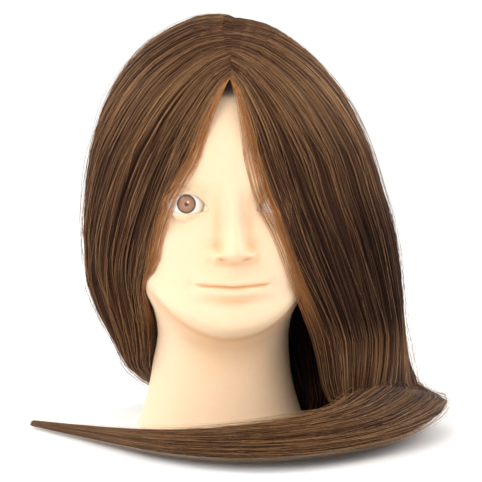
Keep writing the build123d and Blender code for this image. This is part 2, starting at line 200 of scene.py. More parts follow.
print("finishes:", sorted(material.name for material in bpy.data.materials))

# %% [markdown]
# ## The vinyl skin
#
# Skins like this are moulded hollow in one piece, from the crown to the turned-in lip under the neck. The
# outline is the construction model's: egg-shaped rings that tilt with the jaw. Each is given by its front
# point, its back point and its half width.

# %% Outline of head and neck
ring_front_y = [-60, -55.5, -51.5, -48.5, -47.5, -51, -63, -75.5, -80.5,
                -80, -81, -80.5, -78.5, -82, -80, -67, -43, -17]
ring_front_z = [0, 12, 24, 36, 49, 60, 68, 75, 84, 97, 110, 127, 156, 182, 212, 239, 258.5, 268.5]
ring_back_y = [58, 54.5, 52, 51, 52, 56, 64, 74, 83, 89, 92.5, 94.5, 94, 89, 79, 61, 36, 11]
ring_back_z = [0, 12, 25, 42, 62, 84, 108, 130, 150, 165, 178, 192, 211, 226, 241, 256, 267, 270.5]
ring_half_width = [58.2, 54.4, 50.9, 48.2, 46.9, 47.8, 52, 59, 65,
                   69, 71.5, 73.5, 75, 75.5, 69.5, 56.5, 37, 15]
ring_number = np.arange(18.0)
widest_at = 0.56


def skull(v, angle):
    """Points of the plain head. v runs over the rings and angle from the left ear, over the back."""
    fy, fz = smooth(v, ring_number, ring_front_y), smooth(v, ring_number, ring_front_z)
    by, bz = smooth(v, ring_number, ring_back_y), smooth(v, ring_number, ring_back_z)
    half = smooth(v, ring_number, ring_half_width)
    jaw = step(v, 5.0, 7.0) * (1 - step(v, 10.0, 12.5))
    half = half * (1 - jaw * 0.035 * step(-np.sin(angle), -0.3, 0.6))
    share = np.where(np.sin(angle) > 0, 1 - widest_at, widest_at) * np.sin(angle) + widest_at
    return np.stack([half * np.cos(angle), fy + (by - fy) * share, fz + (bz - fz) * share], -1)


print("widest:", 2 * max(ring_half_width), "mm; neck:", 2 * min(ring_half_width), "mm")

# %% [markdown]
# ## The face
#
# The face is plain and closed-mouthed, with hardly any modelling, as cheap practice heads are. Each feature
# is a soft hill or hollow pushed out of the egg towards the front: brow, sockets, cheeks, nose, lips, chin.
# The lids are the skin itself, wrapped over the eyeball, with an almond cut through them.

# %% Face: features in millimetres, out of the face
eye_x, eye_y, eye_z = 30.0, -64.0, 159.5
eye_radius = 12.0
lid_radius = eye_radius + 1.1
mouth_z = 106.3
inner_corner, outer_corner = 15.8, 44.5
nose_heights = [116, 120, 123.5, 127, 131, 136, 142, 150, 158, 166, 174]
nose_reach = [0, 1.0, 7.5, 14.8, 17.2, 15.2, 12.0, 8.6, 5.4, 2.4, 0]
nose_width = [9, 9, 9.5, 9.5, 8.6, 7.2, 6.4, 5.8, 5.6, 6.5, 8]


def lid_edges(x):
    """Heights of the lower and the upper lid's edge at this distance from the middle of the face."""
    t = np.clip((np.abs(x) - inner_corner) / (outer_corner - inner_corner), 0, 1)
    corner = 155.0 + 2.2 * t
    return corner - 3.1 * np.sin(pi * t) ** 0.8, corner + 9.6 * np.sin(pi * t**0.9) ** 0.75


def opening(x, z):
    """Millimetres inside the almond between the lids: positive inside, negative outside."""
    low, high = lid_edges(x)
    ends = np.minimum(np.abs(x) - inner_corner, outer_corner - np.abs(x))
    return np.minimum(np.minimum(z - low, high - z), ends * 1.5)


def mouth_line(x):
    """Height of the line between the lips, with its slight dip in the middle."""
    return mouth_z + 0.4 * (x / 20) ** 2 - 0.5 * np.exp(-((x / 6) ** 2))


def jaw_line(x):
    """Height of the edge under the chin and the jaw."""
    return 71.5 + 0.0108 * x**2


def features(x, z):
    """How far the face stands out of the plain egg."""
    ax = np.abs(x)
    out = 1.6 * bump(ax, z, 26, 173, 16, 6) - 5.6 * bump(ax, z, 29, 160.5, 16, 12)
    out += 1.8 * bump(ax, z, 43, 138, 17, 15) - 1.0 * bump(ax, z, 32, 118, 10, 14)
    reach, width = smooth(z, nose_heights, nose_reach), smooth(z, nose_heights, nose_width)
    out += reach * np.exp(-np.abs(x / width) ** 2.3)
    out += 6.2 * bump(ax, z, 11.2, 127.4, 4.4, 4.6) - 1.3 * bump(ax, z, 10.8, 133.5, 2.5, 3.5)
    out -= 3.0 * bump(ax, z - 0.12 * (ax - 7.8), 7.8, 124.6, 2.5, 1.15)
    out -= 0.7 * bump(x, z, 0, 117.5, 2.4, 4.5)
    line = mouth_line(x)
    closed = step(27 - ax, 0, 7)
    out += closed * (2.0 * bump(x, z - line, 0, 3.6, 19, 3.2) + 2.6 * bump(x, z - line, 0, -4.4, 16, 3.4))
    out -= closed * 2.1 * np.exp(-(((z - line) / 0.9) ** 2))
    out -= 2.4 * bump(x, z, 0, 96.3, 19, 3.0)
    jaw = jaw_line(x)
    out += 1.6 * np.exp(-(((z - jaw - 6) / 6) ** 2))
    out -= 3.1 * (1 - step(z - jaw, -2.5, 1.5)) * step(z - jaw, -34, -12)
    return out + 2.2 * bump(x, z, 0, 82, 15, 9) - 1.2 * bump(ax, z, 27, 106, 3.5, 4)


def painted_face_shade(x, z):
    """Painted shade: 0 on plain skin, up to 1 in the hollows beside and under the nose, in the nostrils,
    along and under the lips, by the inner eye corners and under the jaw.
    """
    ax = np.abs(x)
    tone = 0.50 * bump(ax, z, 10.5, 148, 3.2, 15) + 0.55 * bump(ax, z, 11.5, 133, 6, 5)
    tone += 0.45 * bump(x, z, 0, 121.5, 12, 2.6) + 0.30 * bump(ax, z, 16, 126, 2.2, 5)
    line = mouth_line(x)
    tone += 0.85 * step(26 - ax, 0, 6) * np.exp(-np.abs((z - line) / 1.1) ** 2)
    tone += 0.60 * bump(x, z, 0, 96.0, 15, 1.8) + 0.30 * bump(ax, z, 19, 158, 4, 8)
    jaw = jaw_line(x)
    tone += 0.55 * np.exp(-(((z - jaw + 2.5) / 2.6) ** 2))
    tone += 0.30 * step(jaw - z, 0, 4) * step(z - jaw, -40, -10)
    tone += 0.9 * bump(ax, z - 0.12 * (ax - 7.8), 8.0, 124.6, 3.0, 1.2)
    return np.clip(tone, 0, 1)


low, high = lid_edges(np.array([30.0]))
print("eye opening, mm:", round(float(high[0] - low[0]), 1), "high,",
      round(outer_corner - inner_corner, 1), "wide")

# %% [markdown]
# ## The skin's mesh
#
# One grid of rings covers the head. Its lines crowd together at the face, where the lids and the mouth need
# half a millimetre, and are sparse under the hair. The eyelids are the same skin, pushed out over the ball
# of the eye, which is how the mould shapes them.

# %% Skin mesh
skin_rows, skin_columns = 330, 288
density = np.interp(np.linspace(0, 17, 800), [0, 6, 7.5, 8.5, 12.8, 13.5, 17], [1, 2, 4, 9, 9, 2.5, 1])
rows = np.interp(np.linspace(0, 1, skin_rows), np.cumsum(density) / density.sum(), np.linspace(0, 17, 800))
turn = np.linspace(-pi, pi, 1600)
density = 1 + 8 * np.exp(-((turn / 0.62) ** 4))
columns = np.interp(np.linspace(0, 1, skin_columns, endpoint=False), np.cumsum(density) / density.sum(),
                    turn) - pi / 2
v, angle = np.meshgrid(rows, columns, indexing="ij")
head = skull(v, angle)
x, y, z = head[..., 0], head[..., 1], head[..., 2]
front = step(-y, 25, 50)
y -= front * features(x, z)
# The lids: the skin wraps the eyeball, and drops behind it inside the almond.
for side in (-1, 1):
    off = (x - side * eye_x) ** 2 + (z - eye_z) ** 2
    ball = eye_y - np.sqrt(np.clip(lid_radius**2 - off, 0, None))
    near = (off < (lid_radius - 1.2) ** 2) & (y < -30)
    blend = 1.2
    lid = -blend * np.logaddexp(-y / blend, -ball / blend)
    y[:] = np.where(near, lid, y)
shut = np.stack([x, y - 0.6 * front, z], -1)
y += step(opening(x, z), -0.15, 0.55) * (y < -60) * 5.0
head = np.stack([x, y, z], -1)
print("face reaches", round(float(-y.min()), 1), "mm forward of the post's axis")

# %% [markdown]
# ## The skin's colours
#
# The vinyl is one pale peach colour right through. Shade is painted onto it as a deeper peach in the folds,
# under the jaw and on the neck, and a thin dark line is painted along the upper lid. Under the hair the scalp
# is coloured brown, so that no pale skin shows between the roots. Colours stored on the mesh do all this
# without an image.

# %% Skin colours
dark = np.exp(-(((z - lid_edges(x)[1] - 0.15) / 0.42) ** 2))
dark = dark * (np.abs(x) > 16.5) * (np.abs(x) < 44) * (y < -30)
# Painted shade: a deeper peach in the folds of the face and on the neck under the jaw.
neck_shade = step(78 - z, 0, 45) * step(z, -5, 30) * (y < 40)
tone = np.clip(painted_face_shade(x, z) * front + 0.10 * neck_shade, 0, 1)[..., None]
pale, painted_shade_colour, lash = np.array([0.94, 0.695, 0.465]), np.array([0.84, 0.47, 0.23]), np.array([0.20, 0.15, 0.13])
colours = pale * (1 - tone) + painted_shade_colour * tone
colours = colours * (1 - 0.75 * dark[..., None]) + lash * 0.75 * dark[..., None]

scalp = step(0.6 * y + 0.8 * z, 136, 142)[..., None]
colours = colours * (1 - scalp) + np.array([0.16, 0.10, 0.07]) * scalp
head = np.concatenate([head, np.broadcast_to([[[0, -3, 270.8]]], (1, *head.shape[1:]))])
colours = np.concatenate([colours, colours[-1:]])
turn_uv, row_uv = np.meshgrid(np.linspace(0, 1, head.shape[1]), np.linspace(0, 1, head.shape[0]))
skin = make_mesh("skin", head.reshape(-1, 3), grid_quads(*head.shape[:2], closed=True),
                 np.stack([turn_uv, row_uv], -1).reshape(-1, 2), skin_vinyl, colours.reshape(-1, 3))
settle(skin, "skin_vinyl", "head_skin")

# %% [markdown]
# ## The eyes
#
# The eyes are moulded inserts, pushed in from inside before the foam is poured. Each is a white shell with
# a brown disc under a clear satin front. The disc has a dark rim, a small pupil and a painted highlight for
# the catchlight. Caps of two balls with one centre are enough, because the lids hide the rest.

# %% Eyes


def ball_cap(name, centre, radius, reach, rings, colour_at, material):
    """A cap of a ball that looks along -Y: reach is its angle from the middle, in radians."""
    r, a = np.meshgrid(np.linspace(0.0001, reach, rings), np.linspace(0, 2 * pi, 64, endpoint=False),
                       indexing="ij")
    points = np.stack([np.sin(r) * np.cos(a), -np.cos(r), np.sin(r) * np.sin(a)], -1) * radius + centre
    uv = np.stack([0.5 + 0.5 * r / reach * np.cos(a), 0.5 + 0.5 * r / reach * np.sin(a)], -1)
    tints = None if colour_at is None else colour_at(r * radius, a).reshape(-1, 3)
    return make_mesh(name, points.reshape(-1, 3), grid_quads(rings, 64, closed=True), uv.reshape(-1, 2),
                     material, tints)


def iris_colour(r, a):
    """Brown with fine spokes, a dark rim, a dark pupil and a painted highlight for the catchlight."""
    spokes = 1 + 0.16 * np.sin(23 * a + 2 * np.sin(5 * a)) * step(r, 1.5, 3)
    rim, pupil = step(r, 4.5, 5.7), 1 - step(r, 1.1, 1.7)
    shade = (1.25 - 0.25 * step(r, 2, 4)) * spokes * (1 - 0.72 * rim) * (1 - 0.85 * pupil)
    # Painted highlight: a white catchlight beside the pupil.
    painted_catchlight = np.exp(-(((r * np.cos(a) - 0.9) ** 2 + (r * np.sin(a) - 1.3) ** 2) / 0.35))
    return shade[..., None] * np.array([0.31, 0.15, 0.075]) + painted_catchlight[..., None] * 0.8


iris_paint = surface("iris_paint", (0.95, 0.95, 0.95), 0.3, 1800, 0.06, tinted=True, Coat_Weight=0.25,
                     Coat_Roughness=0.05)
for side, name in ((1, "left"), (-1, "right")):
    centre = np.array([side * eye_x, eye_y, eye_z])
    white = ball_cap(f"eyeball_{name}", centre, eye_radius, 1.9, 40, None, eye_white)
    settle(white, "eye_white", f"eye_{name}")
    iris = ball_cap(f"iris_front_{name}", centre, eye_radius + 0.12, 0.53, 48, iris_colour, iris_paint)
    settle(iris, "iris", f"iris_{name}")

# %% [markdown]
# ## The shape of the combed hair
#
# The hair's outside is an egg at every height too, wider on the head's left where the curtain hangs out to
# the table. Strands start at the parting, run over the dome to the height of the temples, and hang from
# there.

# %% The hair's outside
hair_z = [60, 70, 100, 130, 160, 190, 220, 246, 264, 275, 282, 284.5]
hair_right = [-81, -86, -92.5, -95, -93.5, -89, -80, -66, -49.5, -33, -13, -1]
hair_left = [131, 130, 127, 122.5, 113.5, 103.5, 89.5, 70.5, 51.5, 33, 13, 1]
hair_front = [-60, -61, -65, -69, -75, -82, -86, -78, -60, -40, -18, 11]
hair_back = [102, 104, 108, 111, 113.5, 114, 107, 88, 65, 42, 18, 13]
hair_middle_y = 12.0
dome_centre = np.array([3.0, 8.0, 172.0])


def hair_ring(z):
    """Middle x, half width, front reach and back reach of the hair at a height."""
    right, left = smooth(z, hair_z, hair_right), smooth(z, hair_z, hair_left)
    front, back = smooth(z, hair_z, hair_front), smooth(z, hair_z, hair_back)
    return (left + right) / 2, (left - right) / 2, hair_middle_y - front, back - hair_middle_y


def hair_side(angle, z):
    """The hair's outside where it hangs. Angle 0 is the head's left, 90 degrees its back."""
    middle, half, front, back = hair_ring(z)
    reach = np.where(np.sin(angle) > 0, back, front)
    x = middle + half * np.cos(angle)
    return np.stack([x, hair_middle_y + reach * np.sin(angle), np.broadcast_to(z, x.shape)], -1)


def hair_dome(way):
    """The hair's outside where the ray from the dome's centre in this direction leaves it."""
    near, far = np.full(way.shape[:-1], 30.0), np.full(way.shape[:-1], 190.0)
    for _ in range(24):
        mid = (near + far) / 2
        p = dome_centre + way * mid[..., None]
        middle, half, front, back = hair_ring(p[..., 2])
        reach = np.where(p[..., 1] > hair_middle_y, back, front)
        size = ((p[..., 0] - middle) / half) ** 2 + ((p[..., 1] - hair_middle_y) / reach) ** 2
        out = (size > 1) | (p[..., 2] > hair_z[-1])
        near, far = np.where(out, near, mid), np.where(out, mid, far)
    return dome_centre + way * mid[..., None]


print("hair, mm: widest", max(np.subtract(hair_left, hair_right)),
      "deepest", max(np.subtract(hair_back, hair_front)))

# %% [markdown]
# ## Keeping the hair out of the skin
#
# Hair lies on the skin and doesn't go through it. A table of how far the skin reaches, by height and by
# direction, answers for thousands of points at once, much faster than a ray cast for each of them. It is
# coarse, so some strands still graze the skin.

# %% How far the skin reaches
head_turns, head_levels = 180, 136
head_reach = np.zeros((head_levels, head_turns))
level = np.clip((shut[..., 2] / 2).astype(int), 0, head_levels - 1)
heading = ((np.arctan2(shut[..., 1] - 8, shut[..., 0]) / (2 * pi)) % 1 * head_turns).astype(int) % head_turns
np.maximum.at(head_reach, (level, heading), np.hypot(shut[..., 0], shut[..., 1] - 8))
for _ in range(6):
    around = np.stack([np.roll(head_reach, 1, 1), np.roll(head_reach, -1, 1)]).max(0)
    above = np.vstack([head_reach[1:], head_reach[-1:]])
    head_reach = np.where(head_reach > 0, head_reach, np.maximum(around, above))


def clear_of_head(points, gap):
    """Moves points that are inside the skin straight out of it, to this gap."""
    x, y, z = points[..., 0], points[..., 1] - 8, points[..., 2]
    level = np.clip((z / 2).astype(int), 0, head_levels - 1)
    heading = ((np.arctan2(y, x) / (2 * pi)) % 1 * head_turns).astype(int) % head_turns
    reach = np.hypot(x, y) + 1e-6
    least = np.where(z < 262, head_reach[level, heading] + gap, 0)
    grow = np.maximum(1, least / reach)
    return np.stack([x * grow, y * grow + 8, z], -1)


print("skin reaches, mm:", round(float(head_reach.min())), "to", round(float(head_reach.max())))

# %% [markdown]
# ## How the hair lies
#
# All the hair ends up in one long lock. The left side hangs as a curtain, bends forward where it meets the
# table, and sweeps across in front of the neck to a thin tip. The right side falls past the cheek and
# is drawn back behind the neck to join it. A strand is placed by two numbers: `w`, from 0 at the edge beside
# the face to 1 at the middle of the back, and `d`, from 0 on the outside to 1 deep in the hair.

# %% The lock on the table
lock_x = [124, 121, 116, 101, 76, 44, 10, -22, -50, -77, -105, -132]
lock_y = [30, -4, -36, -67, -92, -110, -117, -109, -89, -61, -30, 0]
lock_half = [34, 34, 34, 34, 31, 31, 29, 23, 16, 10, 5, 1.5]
lock_height = [46, 42, 38, 33, 26, 23.5, 21.5, 18, 14, 10, 7, 4]
lock_number = np.arange(12.0)


def lock(s, across, up):
    """A point in the lock. s runs over its sections; across and up are -1 to 1 in the oval section."""
    x, y = smooth(s, lock_number, lock_x), smooth(s, lock_number, lock_y)
    dx = smooth(s + 0.05, lock_number, lock_x) - smooth(s - 0.05, lock_number, lock_x)
    dy = smooth(s + 0.05, lock_number, lock_y) - smooth(s - 0.05, lock_number, lock_y)
    long = np.hypot(dx, dy)
    half, tall = smooth(s, lock_number, lock_half), smooth(s, lock_number, lock_height) / 2
    return np.stack([x - across * half * dy / long, y + across * half * dx / long, 0.9 + tall * (1 + up)], -1)


def between(w, places):
    """A point that moves smoothly through places, a list of (w, (x, y, z))."""
    ws = [place[0] for place in places]
    return np.stack([smooth(w, ws, [place[1][axis] for place in places]) for axis in range(3)], -1)


print("lock length, mm:", round(float(np.hypot(np.diff(lock_x), np.diff(lock_y)).sum())))

# %% [markdown]
# ## Parting, face edge and dome
#
# The roots stand in rows on both sides of the parting. From there a comb has laid each strand over the dome
# to the height of the temples. The two edges beside the face are tables too, because they frame the face
# and are what the eye measures first.

# %% From the parting to the temples
parting = [(0.0, (-2, -80, 243)), (0.3, (2, -52, 268)), (0.6, (8, -12, 282)), (0.8, (10, 22, 279)),
           (1.0, (10, 58, 262))]
edge_z = [0, 60, 85, 98, 116, 136, 157, 182, 208, 242]
left_edge_x = [80, 66, 57, 50.5, 43.5, 34.5, 25, 17.5, 9, -2]
right_edge_x = [-50, -47, -50, -53, -53.5, -49, -42, -31.5, -20.5, -2]


def hang_angle(w, z, edge_x, side):
    """The angle round the hair where strand w hangs at height z."""
    middle, half, _, _ = hair_ring(z)
    edge = -np.arccos(np.clip((smooth(z, edge_z, edge_x) - middle) / half, -1, 1))
    back = pi / 2 if side > 0 else -3 * pi / 2
    return edge + (back - edge) * w


def sink(points, depth):
    """Points moved level towards the middle of the head by depth."""
    flat = points[..., :2] - np.array([6.0, 8.0])
    reach = np.hypot(flat[..., 0], flat[..., 1])[..., None] + 1e-6
    moved = points.copy()
    moved[..., :2] -= flat / reach * depth[..., None]
    return moved


def over_the_dome(w, d, edge_x, side, stops):
    """Points from the parting to where strand w starts to hang."""
    root = between(w, parting) - dome_centre
    root += np.array([side, 0, 0]) * (3.0 * rng.random(w.shape) - 1.0)[..., None]
    temple_z = np.full(w.shape, 186.0)
    temple = hair_side(hang_angle(w, temple_z, edge_x, side), temple_z) - dome_centre
    root /= np.linalg.norm(root, axis=-1, keepdims=True)
    temple /= np.linalg.norm(temple, axis=-1, keepdims=True)
    turn = np.arccos(np.clip((root * temple).sum(-1), -1, 1))[..., None]
    points = []
    for share in stops:
        way = (root * np.sin((1 - share) * turn) + temple * np.sin(share * turn)) / np.sin(turn)
        outside = hair_dome(way)
        groove = 2.6 * (1 - step(share, 0, 0.14))
        points.append(outside - way * (groove + d * 7.0 * step(share, 0, 0.5))[..., None])
    return points


print("parting, mm back from the forehead:", parting[-1][1][1] - parting[0][1][1])

# %% [markdown]
# ## From the temples to the table
#
# On the left the curtain hangs free, bends at the table and turns into the lock. On the right the hair
# follows the side of the neck down and is drawn back behind it. Short hair at the nape fills the space
# behind the neck. Each way is a list of guide points, since real hair could be combed along them.

# %% Guide points
hang_heights = (162, 136, 110, 86, 62)
dome_stops = (0, 0.08, 0.2, 0.4, 0.6, 0.8, 1.0)
enters_at = [0.0, 0.25, 0.5, 0.75, 1.0]
enters_s = [3.3, 2.8, 1.9, 0.8, 0.4]
enters_across = [-0.95, 0.0, 0.95, 0.55, -0.3]
enters_up = [0.75, 0.95, 0.15, -0.5, -0.7]
behind_neck = [
    [(0, (-56, -26, 97)), (0.3, (-92, 2, 98)), (0.65, (-66, 82, 98)), (1, (15, 109, 98))],
    [(0, (-54, -18, 78)), (0.3, (-84, 8, 76)), (0.65, (-58, 84, 74)), (1, (22, 103, 72))],
    [(0, (-53, -6, 58)), (0.3, (-74, 14, 56)), (0.65, (-44, 86, 50)), (1, (34, 98, 46))],
    [(0, (-52, 14, 38)), (0.3, (-62, 30, 34)), (0.65, (-18, 86, 28)), (1, (56, 93, 28))],
    [(0, (-38, 46, 20)), (0.3, (-34, 60, 15)), (0.65, (26, 86, 14)), (1, (84, 82, 18))],
    [(0, (14, 72, 14)), (0.3, (18, 76, 9)), (0.65, (62, 80, 11)), (1, (96, 70, 15))],
]


def left_guides(w, d, end):
    """Left side: parting, curtain, bend, lock. end is the lock section that the strand reaches."""
    points = over_the_dome(w, d, left_edge_x, 1, dome_stops)
    for z in hang_heights:
        level = np.full(w.shape, float(z))
        hang = hair_side(hang_angle(w, level, left_edge_x, 1), level)
        points.append(sink(hang, d * (7.0 + 9.0 * step(170 - z, 0, 90))))
    s = smooth(w, enters_at, enters_s)
    across = smooth(w, enters_at, enters_across)
    up = smooth(w, enters_at, enters_up)
    size = np.maximum(1, np.hypot(across, up)) / (1 - 0.35 * d)
    across, up = across / size, up / size
    entry = lock(s, across, up)
    turn = 0.6 * points[-1] + 0.4 * entry
    turn[..., 2] = 0.14 * hang_heights[-1] + 0.75 * entry[..., 2]
    points += [turn, entry]
    for share in (0.14, 0.3, 0.48, 0.66, 0.83, 1.0):
        points.append(lock(s + (end - s) * share, across, up))
    return clear_of_head(np.stack(points, -2), 0.5)


def right_guides(w, d, end):
    """Right side: parting, past the cheek, then drawn back behind the neck. end shifts where it stops."""
    points = over_the_dome(w, d, right_edge_x, -1, dome_stops)
    for z in (162, 138, 117):
        level = np.full(w.shape, float(z))
        hang = hair_side(hang_angle(w, level, right_edge_x, -1), level)
        points.append(sink(hang, d * (7.0 + 8.0 * step(170 - z, 0, 60))))
    for places in behind_neck:
        points.append(sink(between(w, places), d * 9.0))
    points.append(lock(0.1 + end, -0.6 + 1.1 * w, 0.2 - 0.9 * d))
    points.append(lock(1.0 + end, -0.5 + 1.1 * w, -0.2 - 0.6 * d))
    return clear_of_head(np.stack(points, -2), 0.5)


def nape_guides(w, d, end):
    """Short way down behind the neck, then along the table towards the lock. w runs from right to left."""
    around = radians(138) - radians(120) * w
    points = []
    for z, reach in ((112, 68), (88, 62), (64, 60), (40, 60), (18, 61), (6, 64)):
        drift = -0.5 * (1 - z / 112) ** 2
        place = np.stack([np.cos(around + drift), np.sin(around + drift), np.zeros_like(w)], -1)
        points.append(place * (reach + 14 * d)[..., None] + np.array([0, 2.0, float(z)]))
    points.append(lock(0.6 + end, -0.8 + 0.6 * w, -0.8 + 0.2 * d))
    return clear_of_head(np.stack(points, -2), 1.0)


print("guide points of a left strand:", len(dome_stops) + len(hang_heights) + 8)

# %% [markdown]
# ## Strands by the thousand
#
# A strand's few guide points become a smooth curve. Each curve is then a thin three-sided tube that tapers
# at its end. Strands are pulled together into locks of hair as they run down, which is what makes combed
# hair look combed, and each has its own small wander. Blender's hair curves would be quicker to set up, but
# tubes are plain meshes, which any other program can read.

# %% From guides to tubes
def comb(guides, w, d, end, clumps, pull, samples, wander):
    """Smooth curves for strands, pulled towards their clump's middle as they run down."""
    own = spline(guides(w, d, end), samples)
    middle = (np.floor(w * clumps) + 0.5) / clumps + 0.3 / clumps * np.sin(17 * np.floor(w * clumps))
    deep = (np.floor(d * 4) + 0.5) / 4
    shared = spline(guides(middle, deep, end), samples)
    t = np.linspace(0, 1, samples)[None, :, None]
    gather = pull * step(t, 0.08, 0.55)
    curve = own + (shared - own) * gather
    phase = rng.random((len(w), 3, 3)) * 2 * pi
    for number, turns in enumerate((1.3, 2.9, 6.1)):
        swing = np.sin(2 * pi * turns * t + phase[:, None, :, number])
        curve = curve + swing * wander[:, None, None] * step(t, 0.02, 0.3) / turns**1.5
    curve = clear_of_head(curve, 0.35)
    curve[..., 2] = np.maximum(curve[..., 2], 0.5)
    return curve


def tubes(curves, radius):
    """Three-sided tubes along curves (n, m, 3), as points, quads and UV. radius is (n, m)."""
    n, m, _ = curves.shape
    along = np.gradient(curves, axis=1)
    along /= np.linalg.norm(along, axis=2, keepdims=True) + 1e-9
    side = np.cross(along[:, 0], rng.normal(size=(n, 3)))
    ring = np.zeros((n, m, 3, 3))
    for k in range(m):
        side -= (side * along[:, k]).sum(1, keepdims=True) * along[:, k]
        side /= np.linalg.norm(side, axis=1, keepdims=True) + 1e-9
        over = np.cross(along[:, k], side)
        for corner in range(3):
            a = 2 * pi * corner / 3
            ring[:, k, corner] = curves[:, k] + radius[:, k, None] * (side * cos(a) + over * sin(a))
    ring[..., 2] = np.maximum(ring[..., 2], 0.15)
    first = (np.arange(n) * m * 3)[:, None]
    quads = (first[:, :, None] + grid_quads(m, 3, closed=True)[None]).reshape(-1, 4)
    u = (np.arange(n)[:, None, None] + np.array([0.1, 0.5, 0.9])[None, None, :]) / n
    v = np.linspace(0, 1, m)[None, :, None]
    uv = np.stack(np.broadcast_arrays(u, v), -1).reshape(-1, 2)
    return ring.reshape(-1, 3), quads, uv


print("triangles for each length of tube:", 2 * 3)

# %% [markdown]
# ## The colour of each strand
#
# Brown hair isn't one brown. Each strand gets a tone between dark, reddish and golden brown. A painted
# highlight lightens it round the dome and where the curtain bends, painted shade darkens it where the curtain
# hangs, and the sparse hair beside the face is painted orange for the pale skin shining through it.

# %% Strand colours
dark_brown = np.array([0.019, 0.007, 0.004])
mid_brown = np.array([0.080, 0.030, 0.015])
gold_brown = np.array([0.45, 0.24, 0.105])
orange = np.array([0.78, 0.33, 0.11])


def strand_colours(w, curves, edge, light):
    """One colour per point: a tone for each strand, a painted highlight over the dome and the curtain's bend,
    painted shade on the hanging curtain, and painted orange where it is sparse.
    """
    n, m, _ = curves.shape
    tone = light - 0.05 + 0.22 * rng.normal(size=n) + 0.10 * np.sin(61 * w) * np.sin(23 * w)
    x, z = curves[..., 0], curves[..., 2]
    # Painted highlight round the dome.
    tone = tone[:, None] + 0.22 * np.exp(-(((z - 228) / 30) ** 2))
    # Painted shade where the curtain hangs.
    tone = tone - 0.26 * step(x, 40, 80) * step(175 - z, 0, 50) * step(z, 62, 80)
    # Painted highlight where the curtain bends.
    tone = tone + 0.24 * np.exp(-(((z - 52) / 9) ** 2)) * step(x, 60, 85) 
    tone = tone + (0.10 + 0.22 * step(-x, 10, 90)) * step(36 - z, 0, 14)
    tone = np.clip(tone, 0, 1)[..., None]
    colour = np.where(tone < 0.5, dark_brown + (mid_brown - dark_brown) * tone * 2,
                      mid_brown + (gold_brown - mid_brown) * (tone - 0.5) * 2)
    # Painted orange for the pale skin shining through the sparse hair.
    thin = edge[:, None, None] * step(curves[..., 2], 60, 110)[..., None]
    return np.repeat(colour * (1 - thin) + orange * thin, 3, axis=1).reshape(-1, 3)


def strand_piece(name, guides, w, d, end, samples, thickness, edge, light, wander, clumps, pull, *nodes):
    """Makes one mesh of strands that stands for these nodes."""
    curves = comb(guides, w, d, end, clumps, pull, samples, wander)
    t = np.linspace(0, 1, samples)[None]
    radius = thickness[:, None] * (0.75 + 0.25 * step(t, 0, 0.2)) * (1 - 0.8 * step(t, 0.72, 1))
    points, quads, uv = tubes(curves, radius)
    piece = make_mesh(name, points, quads, uv, hair_fibre, strand_colours(w, curves, edge, light))
    settle(piece, "hair", *nodes)


print("tones, dark to light:", [round(float(tone.mean()), 3) for tone in (dark_brown, mid_brown, gold_brown)])

# %% [markdown]
# ## The two sides, layer by layer
#
# Real heads carry many tens of thousands of hairs. About eleven thousand strands, a third to half a
# millimetre thick and laid over a dark mass of hair in painted shade, give its look from arm's length, though
# less silky. They are made in layers, so that no one mesh is too heavy. The nodes of the construction model
# say only where the hair is, so each layer, which runs from the parting to the tip, stands for one of them.

# %% Strands of the left side
left_nodes = [("hair_top_left",), ("hair_side_left",), ("hair_crown",), ("hair_fold",), ("hair_tail",),
              ("hair_tip",)]
for layer, nodes in enumerate(left_nodes):
    n = 950
    w = rng.random(n) ** (1.45 if layer < 4 else 1.0)
    d = rng.random(n) ** 1.2 * 0.75
    end = 11 - 5.5 * rng.random(n) ** 1.5
    strand_piece(f"strands_left_{layer + 1}", left_guides, w, d, end, 34, 0.15 + 0.13 * rng.random(n),
                 0.35 * step(-w, -0.010, 0.0), 0.42, 0.35 + 0.35 * rng.random(n), 170, 0.35, *nodes)

# %% [markdown]
# ## The right side
#
# The right side is made the same way with its own guides. It holds a little more hair in fewer layers,
# because it doesn't run on along the table.

# %% Strands of the right side
for layer, nodes in enumerate([("hair_top_right",), ("hair_side_right",), ("hair_nape",)]):
    n = 1100
    w = rng.random(n) ** 1.35
    d = rng.random(n) ** 1.2 * 0.75
    end = 0.8 * rng.random(n)
    strand_piece(f"strands_right_{layer + 1}", right_guides, w, d, end, 30, 0.15 + 0.13 * rng.random(n),
                 0.35 * step(-w, -0.010, 0.0), 0.42, 0.35 + 0.35 * rng.random(n), 150, 0.35, *nodes)

# %% [markdown]
# ## Behind the neck
#
# From the front, the inner side of the right curtain and the hair at the nape are seen past the neck. Both
# are in deep shade, so about thirteen hundred strands are enough to break up the dark mass behind them.
# Their tones are set darker than the curtains', as painted shade.

# %% Strands on the inner side of the right curtain, and behind the neck
# The inner strands get a slightly darker tone than the curtains: painted shade.
n = 420
strand_piece("strands_inner", right_guides, 0.62 * rng.random(n), 0.95 + 0.45 * rng.random(n),
             0.8 * rng.random(n), 36, 0.2 + 0.15 * rng.random(n), np.zeros(n), 0.34,
             0.4 + 0.4 * rng.random(n), 120, 0.3, "hair_nape")
# The nape strands get a much darker tone than the curtains: painted shade.
n = 900
strand_piece("strands_nape", nape_guides, rng.random(n), rng.random(n) ** 1.5, rng.random(n), 26,
             0.25 + 0.15 * rng.random(n), np.zeros(n), 0.12, 0.6 + 0.8 * rng.random(n), 40, 0.5, "hair_nape")

# %% [markdown]
# ## Thin hair beside the face, and strays
#
# At the edge of each curtain the hair is only a few strands deep, so these strands are painted orange for
# the pale skin shining through them. Single hairs also stand away from the mass everywhere.

